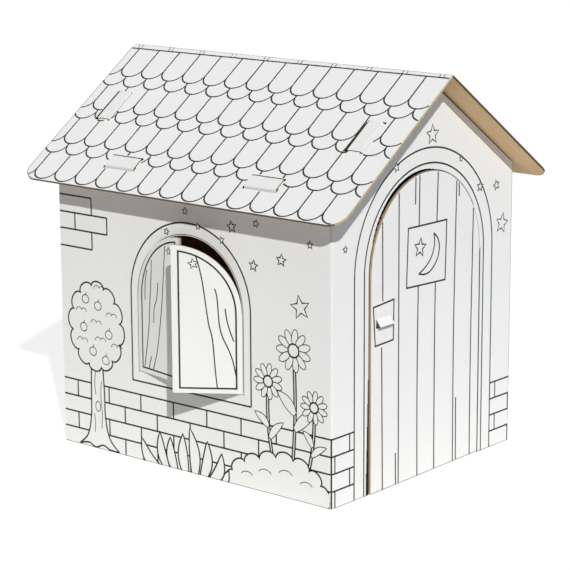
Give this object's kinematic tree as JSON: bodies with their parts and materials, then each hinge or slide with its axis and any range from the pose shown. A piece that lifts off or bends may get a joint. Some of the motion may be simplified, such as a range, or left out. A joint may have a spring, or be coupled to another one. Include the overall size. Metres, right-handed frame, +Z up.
{
  "type": "cardboard playhouse",
  "caption": "Child-size playhouse folded from printed white corrugated card, with a tiled pitched roof locked by fold-over tabs, an arched door flap and a shuttered window.",
  "frame": {"origin": "on the floor, at the middle of the walls' footprint", "axes": "+Z up, +Y along the ridge towards the back gable, the front gable with the door faces -Y and the long wall with the window faces -X"},
  "size_m": [0.9278, 1.084, 1.0399],
  "materials": {
    "wall_card": "matt white liner outside, kraft inside",
    "roof_card": "matt white liner outside, kraft underneath",
    "flap_card": "matt white liner outside, kraft inside"
  },
  "bodies": {
    "house": {"front_left_wall_sheet": "wall_card", "back_right_wall_sheet": "wall_card", "roof_sheet": "roof_card"},
    "door": {"door": "flap_card"},
    "left_shutter": {"left_shutter": "flap_card"},
    "right_shutter": {"right_shutter": "flap_card"}
  },
  "joints": [
    {"name": "door_hinge", "type": "hinge", "parent": "house", "child": "door", "pos_m": [0.2347, -0.465, 0.28], "axis": [0, 0, 1], "range_deg": [-0.9, 119.1]},
    {"name": "left_shutter_hinge", "type": "hinge", "parent": "house", "child": "left_shutter", "pos_m": [-0.38, 0.1787, 0.345], "axis": [0, 0, -1], "range_deg": [-10, 140]},
    {"name": "right_shutter_hinge", "type": "hinge", "parent": "house", "child": "right_shutter", "pos_m": [-0.38, -0.1787, 0.345], "axis": [0, 0, 1], "range_deg": [-35, 115]}
  ]
}
